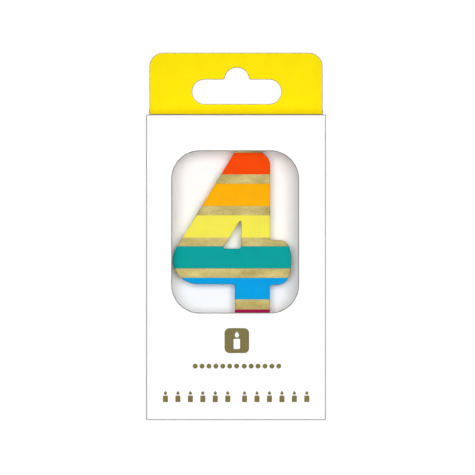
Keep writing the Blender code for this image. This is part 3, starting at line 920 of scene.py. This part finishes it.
def make_cradle():
    """The white card folded into a C, notched for the pick below and for the wick above."""
    front, back = cradle_low.y, cradle_high.y
    low, high = cradle_low.z, cradle_high.z
    way = Creased((front, low), (back, low), (back, high), (front, high))
    reach = candle_y - front
    pick, wick = SPIKE_RADIUS + NOTCH_PLAY, WICK_RADIUS + NOTCH_PLAY
    pick_end, wick_end = reach + pick, way.length - reach - wick
    blank = rounded([
        (0, cradle_low.x, 0),
        (way.length, cradle_low.x, 0),
        (way.length, stem_x - wick, 0),
        (wick_end, stem_x - wick, wick * NEARLY),
        (wick_end, stem_x + wick, wick * NEARLY),
        (way.length, stem_x + wick, 0),
        (way.length, cradle_high.x, 0),
        (0, cradle_high.x, 0),
        (0, stem_x + pick, 0),
        (pick_end, stem_x + pick, pick * NEARLY),
        (pick_end, stem_x - pick, pick * NEARLY),
        (0, stem_x - pick, 0),
    ])
    cradle = fold(slab(blank), way, "yzx")
    replaced = ["candle_cradle"]
    finish_mesh(cradle, "cradle_board", "insert", white_both_sides, replaced)


def make_numeral():
    """The cast wax 4 with its edges rounded, and a low ring of wax where the wick comes out."""
    depth = candle_high.y - candle_low.y
    turns = [HALF_PI * k / 4 for k in range(5)]
    rings = [(WAX_EDGE * (1 - math.sin(turn)), WAX_EDGE * (1 - math.cos(turn))) for turn in turns]
    rings += [(inset, depth - deep) for inset, deep in reversed(rings)]
    cast = stand(slab(bezier(NUMERAL_OUTLINE), [bezier(NUMERAL_COUNTER)], rings), candle_low.y)
    finish_mesh(cast, "numeral_wax", "insert", [wax] * 3, ["candle_numeral"])
    profile = [(radius * MM, candle_high.z + rise * MM, 0) for radius, rise in COLLAR]
    ring = turned(profile, stem_x, candle_y)
    finish_mesh(ring, "wick_collar", "insert", [wax], ())


def make_wick():
    """Three strands of cotton twisted together, pinched at the end."""
    made = bmesh.new()
    foot, top = candle_high.z - WICK_SINK, wick_high.z
    for start in range(STRANDS):
        path, radii = [], []
        for k in range(WICK_STEPS + 1):
            share = k / WICK_STEPS
            turn = 2 * math.pi * (start / STRANDS + TWIST * share)
            pinch = max(0, (share - PINCH_START) / (1 - PINCH_START))
            loose = 1 - 0.75 * pinch**2
            reach = STRAND_REACH * loose
            path.append(Vector((
                stem_x + reach * math.cos(turn),
                candle_y + reach * math.sin(turn),
                foot + (top - foot) * share,
            )))
            radii.append(STRAND_RADIUS * (0.3 + 0.7 * loose))
        strand(made, path, radii)
    finish_mesh(made, "wick_cord", "insert", [cotton], ["wick"])


def make_pick():
    """The moulded pick: a pin up into the wax, a round plate and a grooved spike."""
    tip, top = pick_low.z, candle_low.z + PIN_SINK
    flat = pick_high.x - stem_x - PLATE_EDGE  # the radius of the plate's flat faces
    middle, half = (PLATE_TOP + PLATE_FOOT) / 2, (PLATE_TOP - PLATE_FOOT) / 2
    profile = [(0.9 * MM, top, 0), (PIN_RADIUS, top - 0.2 * MM, 0), (PIN_RADIUS, PLATE_TOP, 0)]
    profile.append((flat, PLATE_TOP, 0))
    for k in range(1, 7):
        turn = math.pi * k / 7
        profile.append((flat + PLATE_EDGE * math.sin(turn), middle + half * math.cos(turn), 0))
    profile += [(flat, PLATE_FOOT, 0), (SPIKE_RADIUS, PLATE_FOOT, 0)]
    profile += [(radius, PLATE_FOOT - down, groove) for radius, down, groove in SPIKE_NECK]
    profile += [(radius, tip + up, groove) for radius, up, groove in SPIKE_TIP]
    pick = turned(profile, stem_x, candle_y)
    finish_mesh(pick, "pick_plastic", "insert", [plastic], ["cake_pick"])


make_sleeve()
make_bottom_flap()
make_lip(
    "bottom_lip_board",
    ("bottom_flap", "bottom_lip"),
    "bottom_tuck_lip",
    white_card,
)
make_dust_flaps()
make_print()
make_header()
make_top_flap()
make_lip(
    "top_lip_board",
    ("top_flap", "top_lip"),
    "top_tuck_lip",
    yellow_card,
    overhead=True,
)
make_cradle()
make_numeral()
make_wick()
make_pick()


# ---------------------------------------------------------------- floor, lights and camera

FLOOR_RADIUS = 0.9
FLOOR_DROP = 30 * MM  # the carton hangs this far above it, so that its bottom flap can swing open
FLOOR_GLOW = 0.4
FLOOR_SIDES = 64
WORLD_LIGHT = 0.12
CAMERA_PLACE = (0.54 * MM, -2838 * MM, 65.2 * MM)
CAMERA_LENS = 600
CAMERA_CLIP = (0.1, 20)
AIM = Vector((0, 0, 65 * MM))

# Each one's azimuth and elevation in degrees, as seen from the object, its distance, width and
# height in metres, its brightness, and whether glossy surfaces mirror it
SOFTBOXES = [
    ("front", 1, 3, 1.0, 0.62, 0.4, 12.6, False),
    ("left", -90, 14, 1.0, 0.9, 0.75, 1.0, True),
    ("right", 90, 14, 1.0, 0.9, 0.75, 1.6, True),
    ("back", 180, 25, 1.2, 1.2, 1.0, 3.6, True),
    ("top", 0, 90, 1.3, 1.6, 1.6, 1.2, True),
    ("below", 180, -70, 1.0, 0.8, 0.8, 1.4, False),
]


def make_floor():
    """A white floor. Its underside is see-through, and so it doesn't hide the object from below."""
    look = Look(
        "studio_floor",
        Roughness=0.9,
        Specular_IOR_Level=0.1,
        Emission_Color=WHITE,
        Emission_Strength=FLOOR_GLOW,
    )
    look.colour(look.mix(look.noise(0.05), FLOOR_LIGHT, FLOOR_DARK))
    underside = look.node("ShaderNodeNewGeometry").outputs["Backfacing"]
    sheer = look.node("ShaderNodeBsdfTransparent").outputs["BSDF"]
    sides = {0: underside, 1: look.shader.outputs["BSDF"], 2: sheer}
    both = look.node("ShaderNodeMixShader", sides).outputs["Shader"]
    look.feed(look.tree.nodes["Material Output"].inputs["Surface"], both)
    made = bmesh.new()
    rim = circle(0, 0, FLOOR_RADIUS, FLOOR_SIDES)
    made.faces.new([made.verts.new((*point, -FLOOR_DROP)) for point in rim])
    mesh = bpy.data.meshes.new("studio_floor")
    made.to_mesh(mesh)
    made.free()
    mesh.materials.append(look.material)
    floor = bpy.data.objects.new("studio_floor", mesh)
    # It neither lights the object nor shades it
    floor.visible_diffuse = floor.visible_shadow = False
    bpy.context.scene.collection.objects.link(floor)


def make_lights():
    """Softboxes round the object, all facing it."""
    for name, azimuth, elevation, distance, width, height, brightness, glossy in SOFTBOXES:
        light = bpy.data.lights.new("softbox_" + name, "AREA")
        light.shape = "RECTANGLE"
        light.size, light.size_y = width, height
        light.energy = brightness * math.pi * width * height
        turn, rise = math.radians(azimuth), math.radians(elevation)
        level = math.cos(rise)
        back = Vector((math.sin(turn) * level, -math.cos(turn) * level, math.sin(rise)))
        softbox = bpy.data.objects.new(light.name, light)
        softbox.location = AIM + back * distance
        softbox.rotation_euler = (HALF_PI - rise, 0, turn)
        softbox.visible_camera = False
        softbox.visible_glossy = glossy
        bpy.context.scene.collection.objects.link(softbox)


def make_world():
    """White where the camera looks straight at it, and dimmer as light on the object."""
    world = bpy.data.worlds.new("studio")
    world.use_nodes = True
    nodes, links = world.node_tree.nodes, world.node_tree.links
    background = nodes["Background"]
    background.inputs["Color"].default_value = (1, 1, 1, 1)
    path = nodes.new("ShaderNodeLightPath")
    strength = nodes.new("ShaderNodeMapRange")
    strength.inputs["To Min"].default_value = WORLD_LIGHT
    strength.inputs["To Max"].default_value = 1.0
    links.new(path.outputs["Is Camera Ray"], strength.inputs["Value"])
    links.new(strength.outputs["Result"], background.inputs["Strength"])
    bpy.context.scene.world = world


def make_camera():
    """A long lens, level and far in front."""
    camera = bpy.data.objects.new("camera", bpy.data.cameras.new("camera"))
    camera.data.lens = CAMERA_LENS
    camera.data.clip_start, camera.data.clip_end = CAMERA_CLIP
    camera.location = CAMERA_PLACE
    camera.rotation_euler = (HALF_PI, 0, 0)
    bpy.context.scene.collection.objects.link(camera)
    bpy.context.scene.camera = camera


make_floor()
make_lights()
make_world()
make_camera()
bpy.context.scene.view_settings.view_transform = "Standard"
